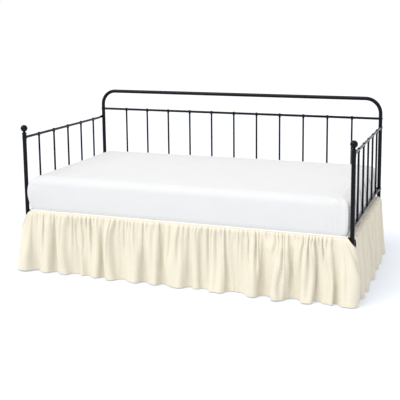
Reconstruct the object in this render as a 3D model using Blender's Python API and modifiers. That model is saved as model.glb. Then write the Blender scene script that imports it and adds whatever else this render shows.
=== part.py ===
"""A ruffled bed skirt with split corners, hung between a spindle daybed and its mattress.

Metres, +Z up.  The floor is z = 0, x runs along the bed, and its open front faces -Y.
"""
import math
import random

import bmesh
import bpy
from mathutils import Matrix, Vector

# ---------------------------------------------------------------- driving sizes
FIT = 0.0003                 # gap that pieces which touch keep between their faces

POST_X = 0.978               # half the distance between the post centres, along the bed
POST_Y = 0.500               # half the distance between the post centres, across it
POST_R = 0.0120              # front post tube
HOOP_R = 0.0120              # bent tube of the back
HOOP_TOP_Z = 0.986
HOOP_CORNER_R = 0.095
BACK_RAIL_Z = 0.860
LOW_RAIL_Z = 0.408
ARM_RAIL_Z = 0.803
RAIL_R = 0.0078
SPINDLE_R = 0.0060
BACK_SPINDLES = 11
BACK_PITCH = 0.1594
ARM_SPINDLES = 5
ARM_PITCH = 0.1716
POST_TOP_Z = 0.832
BALL_R = 0.0205
BALL_Z = 0.857
FOOT_R = 0.0160
FOOT_H = 0.0120

MATTRESS_L = 1.905           # a twin mattress, 75 by 39 by 8 inches
MATTRESS_W = 0.991
MATTRESS_H = 0.203
MATTRESS_Y = -0.0125         # it sits towards the open front
MATTRESS_EDGE_R = 0.035
MATTRESS_CROWN = 0.010
MATTRESS_BULGE = 0.006

DROP = 0.3556                # a 14 inch skirt
HEM_LIFT = 0.0030            # the hem stops just above the floor
CLOTH = 0.0015               # thickness of the skirt's cloth
PLATFORM_X = 0.9555          # half the length of the deck cloth
PLATFORM_FRONT = -0.5035
PLATFORM_BACK = 0.4915
PLATFORM_Z = HEM_LIFT + DROP + CLOTH

DECK_Z = PLATFORM_Z - CLOTH - FIT
SIDE_RAIL = (0.020, 0.040)   # width and height of the deck's tubes
SIDE_RAIL_DROP = 0.003       # they lie this much below the slats, clear of the cloth
END_RAIL = (0.020, 0.035)
END_RAIL_TOP = 0.340
SLATS = 8
SLAT = (0.060, 0.012)

BLACK = (0.016, 0.016, 0.018)
GLIDE = (0.030, 0.030, 0.030)
WHITE = (0.86, 0.87, 0.89)
IVORY = (0.86, 0.80, 0.66)


# ---------------------------------------------------------------- scene helpers
def clear_scene():
    for old in list(bpy.data.objects):
        bpy.data.objects.remove(old, do_unlink=True)


def finish(name, colour, roughness, metallic):
    material = bpy.data.materials.new(name)
    material.use_nodes = True
    shader = material.node_tree.nodes["Principled BSDF"]
    shader.inputs["Base Color"].default_value = (*colour, 1.0)
    shader.inputs["Roughness"].default_value = roughness
    shader.inputs["Metallic"].default_value = metallic
    return material


def add_object(name, data, material):
    made = bpy.data.objects.new(name, data)
    data.materials.append(material)
    daybed.objects.link(made)
    return made


def mesh_object(name, bm, material, smooth=True):
    data = bpy.data.meshes.new(name)
    bm.to_mesh(data)
    bm.free()
    if smooth:
        data.shade_smooth()
        data.set_sharp_from_angle(angle=math.radians(40))
    return add_object(name, data, material)


def rod(name, start, end, radius, material, sides=10):
    """A round bar from one point to another."""
    start = Vector(start)
    end = Vector(end)
    run = end - start
    bm = bmesh.new()
    bmesh.ops.create_cone(bm, cap_ends=True, segments=sides, radius1=radius, radius2=radius, depth=run.length)
    made = mesh_object(name, bm, material)
    made.location = (start + end) / 2
    made.rotation_mode = "QUATERNION"
    made.rotation_quaternion = run.to_track_quat("Z", "Y")
    return made


def bar(name, low, high, material):
    """A square tube or slat between two corners."""
    low = Vector(low)
    high = Vector(high)
    bm = bmesh.new()
    bmesh.ops.create_cube(bm, size=1.0, matrix=Matrix.Diagonal((*(high - low), 1.0)))
    made = mesh_object(name, bm, material, smooth=False)
    made.location = (low + high) / 2
    return made


def turned(name, profile, place, material, steps=16):
    """A turned piece: its profile of (radius, height) runs down the outside from the top."""
    data = bpy.data.meshes.new(name)
    data.from_pydata([(r, 0.0, z) for r, z in profile], [(i, i + 1) for i in range(len(profile) - 1)], [])
    made = add_object(name, data, material)
    made.location = place
    spin = made.modifiers.new("turn", "SCREW")
    spin.steps = steps
    spin.render_steps = steps
    spin.use_merge_vertices = True
    spin.merge_threshold = 0.00001
    return made


# ---------------------------------------------------------------- the daybed's frame
def back_hoop():
    """One tube bent into the back: up a leg, round a corner, along the top and down again."""
    corner = Vector((POST_X - HOOP_CORNER_R, HOOP_TOP_Z - HOOP_CORNER_R))
    bend = [math.radians(a) for a in range(0, 91, 15)]
    half = [(POST_X, FOOT_H + FIT)]
    half += [(corner.x + HOOP_CORNER_R * math.cos(a), corner.y + HOOP_CORNER_R * math.sin(a)) for a in bend]
    route = half + [(-x, z) for x, z in reversed(half)]
    data = bpy.data.curves.new("back_hoop", "CURVE")
    data.dimensions = "3D"
    data.bevel_depth = HOOP_R
    data.bevel_resolution = 3
    data.use_fill_caps = True
    line = data.splines.new("POLY")
    line.points.add(len(route) - 1)
    for point, (x, z) in zip(line.points, route):
        point.co = (x, POST_Y, z, 1.0)
    add_object("back_hoop", data, steel)


def spaced(count, pitch):
    return [(i - (count - 1) / 2) * pitch for i in range(count)]


def back_panel():
    """Two thin rails between the hoop's legs, and the spindles between the rails."""
    reach = POST_X - HOOP_R - FIT
    for name, z in (("back_mid_rail", BACK_RAIL_Z), ("back_low_rail", LOW_RAIL_Z)):
        rod(name, (-reach, POST_Y, z), (reach, POST_Y, z), RAIL_R, steel)
    low = LOW_RAIL_Z + RAIL_R + FIT
    high = BACK_RAIL_Z - RAIL_R - FIT
    for i, x in enumerate(spaced(BACK_SPINDLES, BACK_PITCH), 1):
        rod(f"back_spindle_{i:02d}", (x, POST_Y, low), (x, POST_Y, high), SPINDLE_R, steel, sides=8)


def front_post(side, x):
    """A post with a collar ring under its top, and a ball finial on a narrow neck."""
    foot = FOOT_H + FIT
    neck = BALL_Z - POST_TOP_Z
    turned(f"{side}_post", [
        (0.0, POST_TOP_Z), (0.0105, POST_TOP_Z), (0.0150, POST_TOP_Z - 0.003), (0.0150, POST_TOP_Z - 0.007),
        (POST_R, POST_TOP_Z - 0.010), (POST_R, foot), (0.0, foot),
    ], (x, -POST_Y, 0.0), steel)
    ball = [math.radians(a) for a in range(90, -46, -15)]
    profile = [(BALL_R * math.cos(a), BALL_R * math.sin(a)) for a in ball]
    profile[0] = (0.0, BALL_R)
    profile += [(0.0075, FIT + 0.006 - neck), (0.0095, FIT - neck), (0.0, FIT - neck)]
    turned(f"{side}_finial", profile, (x, -POST_Y, BALL_Z), steel)


def arm(side, x):
    """The rails and spindles between a front post and the hoop's leg."""
    front = -POST_Y + POST_R + FIT
    back = POST_Y - HOOP_R - FIT
    for name, z in (("top", ARM_RAIL_Z), ("low", LOW_RAIL_Z)):
        rod(f"{side}_{name}_rail", (x, front, z), (x, back, z), RAIL_R, steel)
    low = LOW_RAIL_Z + RAIL_R + FIT
    high = ARM_RAIL_Z - RAIL_R - FIT
    for i, y in enumerate(spaced(ARM_SPINDLES, ARM_PITCH), 1):
        rod(f"{side}_spindle_{i}", (x, y, low), (x, y, high), SPINDLE_R, steel, sides=8)


def deck():
    """The plain deck under the mattress: end rails between the posts, side rails and slats."""
    front = -POST_Y + POST_R + FIT
    back = POST_Y - HOOP_R - FIT
    width, height = END_RAIL
    for side, x in SIDES:
        bar(f"deck_{side}_end_rail", (x - width / 2, front, END_RAIL_TOP - height),
            (x + width / 2, back, END_RAIL_TOP), steel)
    to_post = POST_X - POST_R - FIT
    to_end_rail = POST_X - width / 2 - FIT
    width, height = SIDE_RAIL
    front = PLATFORM_FRONT + 0.0035
    back = PLATFORM_BACK - 0.0035
    top = DECK_Z - SIDE_RAIL_DROP
    bar("deck_front_rail", (-to_post, front, top - height), (to_post, front + width, top), steel)
    bar("deck_back_rail", (-to_end_rail, back - width, top - height), (to_end_rail, back, top), steel)
    slat_width, height = SLAT
    for i, x in enumerate(spaced(SLATS, 2 * to_post / SLATS), 1):
        bar(f"deck_slat_{i}", (x - slat_width / 2, front + width + FIT, DECK_Z - height),
            (x + slat_width / 2, back - width - FIT, DECK_Z), steel)


def feet():
    """A plastic glide under each leg."""
    for side, x in SIDES:
        for end, y in (("front", -POST_Y), ("back", POST_Y)):
            rod(f"foot_{end}_{side}", (x, y, 0.0), (x, y, FOOT_H), FOOT_R, glide, sides=16)


# ---------------------------------------------------------------- the mattress
def round_off(point, half, radius):
    """Moves a point of a box on to the same box with its edges rounded."""
    inner = Vector([max(-(h - radius), min(h - radius, c)) for c, h in zip(point, half)])
    away = point - inner
    if away.length == 0:
        return point
    return inner + away.normalized() * radius


def edge_stations(half, radius, inside):
    """Where the box is cut along one axis: closely round each edge, widely between."""
    flat = half - radius
    near = [half - radius * (1 - math.sin(math.radians(a))) for a in (0, 45, 90)]
    middle = [flat * (2 * i / inside - 1) for i in range(1, inside)]
    return [-c for c in reversed(near)] + middle + near


def mattress():
    """A filled pad: rounded edges, sides that swell a little and a crowned top."""
    half = Vector((MATTRESS_L / 2, MATTRESS_W / 2, MATTRESS_H / 2))
    stations = [edge_stations(h, MATTRESS_EDGE_R, n) for h, n in zip(half, (7, 4, 2))]
    bm = bmesh.new()
    bmesh.ops.create_cube(bm, size=2.0)
    for axis in range(3):
        normal = Vector([1.0 if i == axis else 0.0 for i in range(3)])
        for cut in stations[axis][1:-1]:
            everything = bm.verts[:] + bm.edges[:] + bm.faces[:]
            bmesh.ops.bisect_plane(bm, geom=everything, plane_co=normal * (cut / half[axis]), plane_no=normal)
    for vertex in bm.verts:
        box = Vector([c * h for c, h in zip(vertex.co, half)])
        spread_x = max(0.0, 1 - (box.x / half.x) ** 2)
        spread_y = max(0.0, 1 - (box.y / half.y) ** 2)
        spread_z = max(0.0, 1 - (box.z / half.z) ** 2)
        made = round_off(box, half, MATTRESS_EDGE_R)
        if box.z > 0:
            made.z += MATTRESS_CROWN * (spread_x * spread_y) ** 0.35 * box.z / half.z
        made.x += math.copysign(MATTRESS_BULGE * spread_z * spread_y, box.x) * abs(box.x / half.x) ** 4
        made.y += math.copysign(MATTRESS_BULGE * spread_z * spread_x, box.y) * abs(box.y / half.y) ** 4
        vertex.co = made
    made = mesh_object("mattress", bm, sheet)
    made.location = (0.0, MATTRESS_Y, PLATFORM_Z + FIT + half.z)


# ---------------------------------------------------------------- the skirt
# Each ruffle is one length of cloth gathered on to an edge of the platform.  A row is one main
# fold, from the ruffle's left end to its right as seen from outside: its width along the seam,
# its width along the hem, and how far the cloth swings from the edge's direction, in radians.
FRONT_FOLDS = (
    (0.036, 0.167, 0.62),
    (0.054, 0.043, 0.40),
    (0.103, 0.103, 1.02),
    (0.127, 0.127, 0.96),
    (0.084, 0.084, 1.05),
    (0.098, 0.098, 1.10),
    (0.114, 0.114, 1.08),
    (0.115, 0.115, 0.98),
    (0.120, 0.120, 1.04),
    (0.154, 0.154, 0.80),
    (0.095, 0.095, 1.00),
    (0.129, 0.129, 1.05),
    (0.088, 0.088, 0.94),
    (0.117, 0.117, 1.06),
    (0.154, 0.154, 0.92),
    (0.143, 0.143, 0.98),
    (0.096, 0.096, 1.06),
    (0.059, 0.150, 0.80),
    (0.020, 0.068, 0.45),
)
RIGHT_FOLDS = (
    (0.046, 0.044, 0.35),
    (0.098, 0.102, 0.74),
    (0.106, 0.104, 0.82),
    (0.088, 0.092, 0.70),
    (0.112, 0.112, 0.86),
    (0.096, 0.094, 0.72),
    (0.100, 0.104, 0.84),
    (0.114, 0.109, 0.80),
    (0.090, 0.094, 0.74),
    (0.106, 0.110, 0.78),
)
LEFT_FOLDS = (
    (0.108, 0.112, 0.76),
    (0.092, 0.096, 0.78),
    (0.112, 0.110, 0.84),
    (0.098, 0.096, 0.70),
    (0.092, 0.097, 0.82),
    (0.108, 0.106, 0.76),
    (0.097, 0.100, 0.86),
    (0.110, 0.110, 0.74),
    (0.093, 0.094, 0.70),
    (0.046, 0.044, 0.35),
)
BACK_FOLDS = tuple((0.119, 0.119, 0.90 + 0.10 * math.sin(2.4 * i)) for i in range(16))

GATHER_PITCH = 0.050         # gathers along the seam
GATHER_SWING = 0.80
GATHER_REACH = (0.05, 0.15)  # how far down the cloth a gather runs
RIDGE = 0.20                 # makes the ridges broad and the valleys narrow
SEAM_FOLD = 0.22             # what the main folds have of their swing at the seam
FULL_AT = 0.55               # and how far down they have all of it
FAN = (0.60, 0.95)           # how early the two ends of a ruffle spread to their hem widths
HELD = (0.15, 0.045)         # the folds' depth in the seam itself, and how far below it they are free
CORNER_PUSH = 0.010          # keeps the front ruffle's ends off the posts
PUSH_FROM = (0.10, 0.02)     # it begins and is whole this far before a post
PUSH_DROP = 0.03             # and is whole this far below the seam
CORNER_LIFT = 0.014          # its left end spreads wide, which draws the hem up there
LIFT_FROM = (0.12, -0.03)    # the lift begins this far before the post and is whole past it
TUCK = 0.013                 # the end ruffles' front edges turn in behind the posts
TUCK_FROM = (0.448, 0.478)   # between these distances from the panel's middle
TUCK_DROP = (0.085, 0.115)   # and between these depths, below the deck's rail


def smooth(x):
    x = max(0.0, min(1.0, x))
    return x * x * (3 - 2 * x)


def ramp(x, start, end):
    """0 up to the start, 1 from the end on, and a soft rise between them."""
    return smooth((x - start) / (end - start))


def cloth_length(width, swing):
    """The length of cloth in a fold: its width over the mean cosine of the swing."""
    steps = 60
    mean = sum(math.cos(swing * wave(2 * math.pi * (i + 0.5) / steps)) for i in range(steps)) / steps
    return width / mean


def wave(phase):
    return math.sin(phase) + RIDGE * math.sin(2 * phase)


def gathers(folds, seed):
    """The small gathers in each fold at the seam, each with its strength and its reach."""
    chance = random.Random(seed)
    made = []
    for seam_width, _, _ in folds:
        count = max(1, round(seam_width / GATHER_PITCH))
        made.append([(chance.uniform(0.6, 1.25), chance.uniform(*GATHER_REACH)) for _ in range(count)])
    return made


def cross_section(folds, small, seam_start, hem_start, down, columns):
    """The cloth's line in plan at one height: (distance along the edge, distance out) pairs.

    down is the distance below the seam over the ruffle's height, from 0 to 1.
    """
    rise = SEAM_FOLD + (1 - SEAM_FOLD) * smooth(down / FULL_AT)
    line = []
    along = seam_start + (hem_start - seam_start) * down ** FAN[0]
    for number, ((seam_width, hem_width, swing), group) in enumerate(zip(folds, small)):
        spread = down ** FAN[2 * number // len(folds)]
        width = seam_width + (hem_width - seam_width) * spread
        step = cloth_length(hem_width, swing) / columns
        run = 0.0
        out = 0.0
        fold = []
        for i in range(columns):
            fold.append((run, out))
            turn = (i + 0.5) / columns
            strength, reach = group[int(turn * len(group))]
            gather = strength * GATHER_SWING * math.exp(-(down * DROP / reach) ** 1.5)
            angle = rise * swing * wave(2 * math.pi * turn)
            angle += gather * math.sin(2 * math.pi * turn * len(group))
            run += step * math.cos(angle)
            out += step * math.sin(angle)
        line += [(along + width * r / run, o) for r, o in fold]
        along += width
    line.append((along, 0.0))
    return line


def ruffle(name, folds, starts, seam_out, shoulder, flare, half, corner, tucked, yaw, rows, columns, seed):
    """One gathered panel.

    starts are where its left end is at the seam and at the hem, seam_out is the seam's distance
    beyond the post centres, shoulder the flat run and the radius with which the cloth turns down
    over the deck's edge, and flare how much further out the valleys of the folds stand at the
    hem.  Past the corner the panel turns round the post.  tucked is -1 or 1 where its left or
    right end turns in below the deck's rail, and 0 where neither does.
    """
    small = gathers(folds, seed)
    flat, radius = shoulder
    turn_length = radius * math.pi / 2
    fall = PLATFORM_Z - CLOTH / 2 - HEM_LIFT - radius
    length = flat + turn_length + fall
    grid = []
    for row in rows:
        down = row * length
        if down <= flat:
            out, z, tilt = down, 0.0, 0.0
        elif down <= flat + turn_length:
            tilt = (down - flat) / radius
            out, z = flat + radius * math.sin(tilt), -radius * (1 - math.cos(tilt))
        else:
            tilt = math.pi / 2
            part = (down - flat - turn_length) / fall
            out, z = flat + radius + flare * part, -radius - fall * part
        held = HELD[0] + (1 - HELD[0]) * ramp(down, 0.0, HELD[1])
        points = []
        for along, fold in cross_section(folds, small, *starts, row, columns):
            at_post = ramp(abs(along), corner - PUSH_FROM[0], corner - PUSH_FROM[1])
            push = CORNER_PUSH * at_post * ramp(down, 0.0, PUSH_DROP)
            tuck = TUCK * ramp(tucked * along, *TUCK_FROM) * ramp(down, *TUCK_DROP)
            base = seam_out + out + (push if corner else -tuck)
            fold *= held
            lift = PLATFORM_Z - CLOTH / 2 + z + fold * math.cos(tilt)
            if corner:
                lift += CORNER_LIFT * row * ramp(-along, corner - LIFT_FROM[0], corner - LIFT_FROM[1])
            reach = base + fold * math.sin(tilt)
            past = abs(along) - corner
            if corner and past > 0:
                bend = min(past / base, math.pi / 2)
                back = past - base * bend
                x = math.copysign(corner + reach * math.sin(bend), along)
                y = -half - reach * math.cos(bend) + back
            else:
                x, y = along, -half - reach
            points.append((x, y, lift))
        grid.append(points)
    bm = bmesh.new()
    verts = [[bm.verts.new(p) for p in points] for points in grid]
    for upper, lower in zip(verts, verts[1:]):
        for a, b, c, d in zip(upper, lower, lower[1:], upper[1:]):
            bm.faces.new((a, b, c, d))
    made = mesh_object(name, bm, cloth)
    made.rotation_euler.z = yaw
    thick = made.modifiers.new("cloth", "SOLIDIFY")
    thick.thickness = CLOTH
    thick.offset = 0.0
    thick.use_even_offset = True
    return made


def skirt():
    """The platform that lies on the deck, and the four ruffles sewn to its edges."""
    bar("platform", (-PLATFORM_X, PLATFORM_FRONT, PLATFORM_Z - CLOTH),
        (PLATFORM_X, PLATFORM_BACK, PLATFORM_Z), cloth)
    seam = FIT + 0.0002
    fine = (0.0, 0.018, 0.045, 0.13, 0.30, 0.58, 1.0)
    plain = (0.0, 0.05, 0.11, 0.24, 0.34, 0.62, 1.0)
    hidden = (0.0, 0.02, 0.06, 0.35, 1.0)
    front_out = -PLATFORM_FRONT - POST_Y + seam
    back_out = PLATFORM_BACK - POST_Y + seam
    end_out = PLATFORM_X - POST_X + seam
    over_edge = (0.0, 0.010)
    over_rail = (0.010, 0.026)
    right = math.pi / 2
    ruffle("ruffle_front", FRONT_FOLDS, (-0.953, -1.073), front_out, over_edge, 0.004,
           POST_Y, POST_X, 0, 0.0, fine, 11, 1)
    ruffle("ruffle_right", RIGHT_FOLDS, (-0.478, -0.478), end_out, over_rail, 0.002,
           POST_X, 0.0, -1, right, plain, 9, 2)
    ruffle("ruffle_back", BACK_FOLDS, (-0.952, -0.952), back_out, over_edge, 0.010,
           POST_Y, 0.0, 0, 2 * right, hidden, 7, 3)
    ruffle("ruffle_left", LEFT_FOLDS, (-0.478, -0.487), end_out, over_rail, 0.002,
           POST_X, 0.0, 1, -right, plain, 9, 4)


# ---------------------------------------------------------------- build
SIDES = (("left", -POST_X), ("right", POST_X))

clear_scene()
daybed = bpy.data.collections.new("bed_skirt_on_daybed")
bpy.context.scene.collection.children.link(daybed)
steel = finish("black_steel", BLACK, 0.38, 0.6)
glide = finish("glide_plastic", GLIDE, 0.5, 0.0)
sheet = finish("white_sheet", WHITE, 0.9, 0.0)
cloth = finish("ivory_cloth", IVORY, 0.9, 0.0)

feet()
back_hoop()
back_panel()
for side_name, side_x in SIDES:
    front_post(side_name, side_x)
    arm(side_name, side_x)
deck()
skirt()
mattress()
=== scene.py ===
# %% [markdown]
# # A ruffled bed skirt on a daybed
# A bed skirt is a flat sheet, the deck cloth, that lies between a mattress and the bed that
# carries it, with a gathered strip of cloth sewn to each edge so that it hangs to the floor.
# Here the corners are split, because the daybed's posts stand in them.  This lesson dresses a
# plain model of the bed: the tubes get their joints, the cloth gets its folds, and every
# surface gets a finish.
#
# The plain model comes in first and stays where it is.  Each new piece rides on its one body.

# %% Loading the plain model
import math
import random

import bpy
import mathutils
import numpy as np
from mathutils import Matrix, Vector


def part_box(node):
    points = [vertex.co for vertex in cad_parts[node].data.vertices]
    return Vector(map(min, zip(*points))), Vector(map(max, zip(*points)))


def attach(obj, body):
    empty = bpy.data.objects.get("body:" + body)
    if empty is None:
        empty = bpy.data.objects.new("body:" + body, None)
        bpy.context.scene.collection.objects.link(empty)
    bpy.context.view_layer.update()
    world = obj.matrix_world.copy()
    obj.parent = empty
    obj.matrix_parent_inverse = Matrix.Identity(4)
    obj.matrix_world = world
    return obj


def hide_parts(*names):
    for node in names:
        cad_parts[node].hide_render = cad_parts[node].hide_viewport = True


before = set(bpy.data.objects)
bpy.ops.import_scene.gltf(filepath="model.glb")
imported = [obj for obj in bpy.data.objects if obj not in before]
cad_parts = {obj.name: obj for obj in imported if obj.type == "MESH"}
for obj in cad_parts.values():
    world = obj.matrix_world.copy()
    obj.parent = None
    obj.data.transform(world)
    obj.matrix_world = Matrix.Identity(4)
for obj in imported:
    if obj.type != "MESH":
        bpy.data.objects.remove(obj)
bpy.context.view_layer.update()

# %% [markdown]
# The sizes of the bed are measured once and named.  Lengths are in metres, x runs along the bed,
# the open front faces -y, and the floor is z = 0.  Most can be read from the plain pieces'
# own boxes, so that the new pieces land on them without any fitting.

# %% The bed's own sizes
post_low, post_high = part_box("right_post")
hoop_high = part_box("back_hoop")[1]
deck_low, deck_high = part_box("platform")
pad_low, pad_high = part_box("mattress")
POST_X = (post_low.x + post_high.x) / 2
POST_Y = -(post_low.y + post_high.y) / 2
HOOP_TOP = hoop_high.z
DECK_Z = deck_high.z
FOOT_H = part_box("foot_front_left")[1].z
LOW_RAIL_Z = sum(p.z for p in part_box("back_low_rail")) / 2
MID_RAIL_Z = sum(p.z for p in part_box("back_mid_rail")) / 2
ARM_RAIL_Z = sum(p.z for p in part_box("left_top_rail")) / 2
POST_R = 0.012
HOOP_R = 0.012
HOOP_BEND = 0.095
RAIL_R = 0.0078
SPINDLE_R = 0.006
print("posts at x", round(POST_X, 3), "y", round(POST_Y, 3), "deck cloth at", round(DECK_Z, 4))

# %% [markdown]
# A few helpers keep the modelling cells short.  Everything is deselected before a primitive is
# added, because an operator acts on all that is selected.  A finished piece has its place in its
# mesh and its object at the origin, so that patterns and exports find it where it stands.

# %% Starting and finishing a piece
def start_clean():
    if bpy.context.mode != "OBJECT":
        bpy.ops.object.mode_set(mode="OBJECT")
    bpy.ops.object.select_all(action="DESELECT")


def only(piece):
    start_clean()
    piece.select_set(True)
    bpy.context.view_layer.objects.active = piece


def settle(piece):
    """Puts a piece's place, turn and scale into its mesh."""
    only(piece)
    bpy.ops.object.transform_apply(location=True, rotation=True, scale=True)


def outwards(piece):
    only(piece)
    bpy.ops.object.mode_set(mode="EDIT")
    bpy.ops.mesh.select_all(action="SELECT")
    bpy.ops.mesh.normals_make_consistent(inside=False)
    bpy.ops.object.mode_set(mode="OBJECT")


def dress(piece, material, nodes):
    """Gives a piece its finish, its body, and the plain pieces that it stands for."""
    piece.data.materials.clear()
    piece.data.materials.append(material)
    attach(piece, "root")
    if nodes:
        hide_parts(*nodes)


def mesh_piece(name, points, faces, smooth=True):
    data = bpy.data.meshes.new(name)
    data.from_pydata([tuple(p) for p in points], [], [tuple(f) for f in faces])
    data.polygons.foreach_set("use_smooth", [smooth] * len(data.polygons))
    data.update()
    piece = bpy.data.objects.new(name, data)
    bpy.context.scene.collection.objects.link(piece)
    return piece


print("helpers ready")

# %% [markdown]
# ## Finishes
# A finish is a small network of nodes.  Powder coat is paint that was baked on as a dust: it is
# nearly black, half dull, and very slightly dimpled, like an orange's skin, and it is rubbed a
# little shinier and paler here and there.  Its pattern reads Object coordinates, which are
# metres here, so a dimple has the same size on a post and on a spindle.

# %% Node helpers and the powder coat
def new_finish(name, colour, roughness, **sockets):
    material = bpy.data.materials.new(name)
    material.use_nodes = True
    nodes = material.node_tree.nodes
    shader = nodes["Principled BSDF"]
    shader.inputs["Base Color"].default_value = (*colour, 1)
    shader.inputs["Roughness"].default_value = roughness
    for socket, value in sockets.items():
        shader.inputs[socket.replace("_", " ")].default_value = value
    return material, nodes, material.node_tree.links, shader


def add_node(nodes, kind, **settings):
    node = nodes.new("ShaderNode" + kind)
    for key, value in settings.items():
        if key[0].isupper():
            node.inputs[key.replace("_", " ")].default_value = value
        else:
            setattr(node, key, value)
    return node


def noise(nodes, links, where, scale, detail=3.0, roughness=0.55):
    made = add_node(nodes, "TexNoise", Scale=scale, Detail=detail, Roughness=roughness)
    links.new(where, made.inputs["Vector"])
    return made.outputs["Fac"]


def between(nodes, links, factor, low, high):
    """Turns a pattern's 0 to 1 into a range of numbers."""
    made = add_node(nodes, "MapRange")
    made.inputs["To Min"].default_value = low
    made.inputs["To Max"].default_value = high
    links.new(factor, made.inputs["Value"])
    return made.outputs["Result"]


def two_colours(nodes, links, factor, one, other):
    made = add_node(nodes, "Mix", data_type="RGBA")
    made.inputs["A"].default_value = (*one, 1)
    made.inputs["B"].default_value = (*other, 1)
    links.new(factor, made.inputs["Factor"])
    return made.outputs["Result"]


def bump(nodes, links, shader, height, strength, distance, over=None):
    made = add_node(nodes, "Bump")
    made.inputs["Strength"].default_value = strength
    made.inputs["Distance"].default_value = distance
    links.new(height, made.inputs["Height"])
    if over:
        links.new(over, made.inputs["Normal"])
    links.new(made.outputs["Normal"], shader.inputs["Normal"])
    return made.outputs["Normal"]


def powder_coat(name, dark, pale, roughness):
    material, nodes, links, shader = new_finish(name, dark, roughness, Specular_IOR_Level=0.14)
    place = add_node(nodes, "TexCoord").outputs["Object"]
    broad = noise(nodes, links, place, 9.0)
    links.new(two_colours(nodes, links, broad, dark, pale), shader.inputs["Base Color"])
    rubbed = noise(nodes, links, place, 40.0)
    links.new(between(nodes, links, rubbed, roughness - 0.06, roughness + 0.08),
              shader.inputs["Roughness"])
    dimples = noise(nodes, links, place, 900.0, detail=1.0)
    bump(nodes, links, shader, dimples, 0.05, 0.0002)
    return material


steel = powder_coat("black_powder_coat", (0.0030, 0.0030, 0.0036), (0.0065, 0.0065, 0.0075), 0.21)
glide = powder_coat("glide_plastic", (0.018, 0.018, 0.019), (0.026, 0.026, 0.026), 0.55)
print("powder coat and glide plastic ready")

# %% [markdown]
# Woven cloth is two sets of threads, one along and one across, each going over and under the
# other.  Two wave textures crossed by multiplying give that grid.  They follow the cloth and
# not the room, so they read its UV map, which holds metres of cloth.  A little slow noise makes
# the dye uneven, a finer one makes some threads thicker, and sheen gives the soft pale edge of
# brushed cotton.

# %% Woven cloth
def woven(name, thread, shade, lit, roughness, sheen, weave_depth, uv=True):
    material, nodes, links, shader = new_finish(name, lit, roughness, Sheen_Weight=sheen,
                                                Sheen_Roughness=0.4, Specular_IOR_Level=0.2)
    place = add_node(nodes, "TexCoord").outputs["UV" if uv else "Object"]
    rings = math.tau / thread / 20
    threads = []
    for direction in ("X", "Y"):
        wave = add_node(nodes, "TexWave", wave_type="BANDS", bands_direction=direction,
                        Scale=rings, Distortion=1.5, Detail=2.0)
        wave.inputs["Detail Scale"].default_value = 0.6
        links.new(place, wave.inputs["Vector"])
        threads.append(wave.outputs["Fac"])
    weave = add_node(nodes, "Math", operation="MULTIPLY")
    for socket, thread_set in zip(weave.inputs, threads):
        links.new(thread_set, socket)
    solid = add_node(nodes, "TexCoord").outputs["Object"]
    broad = noise(nodes, links, solid, 7.0, detail=4.0)
    slubs = noise(nodes, links, place, 160.0)
    mixed = add_node(nodes, "Math", operation="MULTIPLY_ADD")
    mixed.inputs[1].default_value = 0.35
    links.new(slubs, mixed.inputs[0])
    links.new(broad, mixed.inputs[2])
    links.new(two_colours(nodes, links, between(nodes, links, mixed.outputs[0], -0.1, 0.9), shade, lit),
              shader.inputs["Base Color"])
    links.new(between(nodes, links, weave.outputs[0], roughness - 0.06, roughness + 0.04),
              shader.inputs["Roughness"])
    first = bump(nodes, links, shader, weave.outputs[0], 0.35, weave_depth)
    bump(nodes, links, shader, slubs, 0.12, 0.0006, over=first)
    return material


ivory = woven("ivory_cotton", 0.0011, (0.668, 0.621, 0.502), (0.716, 0.671, 0.556), 0.88, 0.15, 0.0004)
thread_finish = woven("ivory_thread", 0.0005, (0.62, 0.56, 0.42), (0.70, 0.64, 0.50), 0.7, 0.2, 0.0002,
                      uv=False)
cream = woven("cream_deck_cotton", 0.0010, (0.76, 0.745, 0.70), (0.81, 0.80, 0.76), 0.88, 0.2, 0.0003,
              uv=False)
white = woven("white_percale", 0.0007, (0.625, 0.627, 0.633), (0.660, 0.662, 0.668), 0.9, 0.12, 0.0002,
              uv=False)
print("ivory cotton, its thread and white percale ready")

# %% [markdown]
# ## The steelwork
# The frame is tube and rod, so nearly every piece is a disc drawn out along a line.  One helper
# does that as a hand would: it adds a filled circle, then extrudes it and resizes it once for
# each row of a short table.  A row is a height and a radius, and may also give a second radius,
# across, for an end that was pressed flat, and a step aside.  The other ways are a profile
# spun round an axis, or a curve with a bevel, but those can't flatten an end.

# %% Drawing a tube out of a disc
def drawn(name, rows, sides=24):
    start_clean()
    height, radius = rows[0][:2]
    bpy.ops.mesh.primitive_circle_add(vertices=sides, radius=radius, fill_type="NGON",
                                      location=(0, 0, height))
    piece = bpy.context.object
    piece.name = name
    settle(piece)
    bpy.ops.object.mode_set(mode="EDIT")
    bpy.ops.mesh.select_mode(type="FACE")
    bpy.ops.mesh.select_all(action="SELECT")
    wide = across = radius
    beside = 0.0
    for row in rows[1:]:
        next_wide = row[1]
        next_across = row[2] if len(row) > 2 else next_wide
        next_beside = row[3] if len(row) > 3 else 0.0
        step = (next_beside - beside, 0, row[0] - height)
        bpy.ops.mesh.extrude_region_move(TRANSFORM_OT_translate={"value": step})
        bpy.ops.transform.resize(value=(next_across / across, next_wide / wide, 1))
        height, wide, across, beside = row[0], next_wide, next_across, next_beside
    bpy.ops.object.mode_set(mode="OBJECT")
    piece.data.name = name
    return piece


def stand(piece, place, turn=(0, 0, 0)):
    """Puts a drawn piece in its place, smooth but for its sharp edges."""
    piece.location = place
    piece.rotation_euler = turn
    settle(piece)
    outwards(piece)
    only(piece)
    bpy.ops.object.shade_smooth_by_angle(angle=math.radians(38))
    return piece


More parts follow.
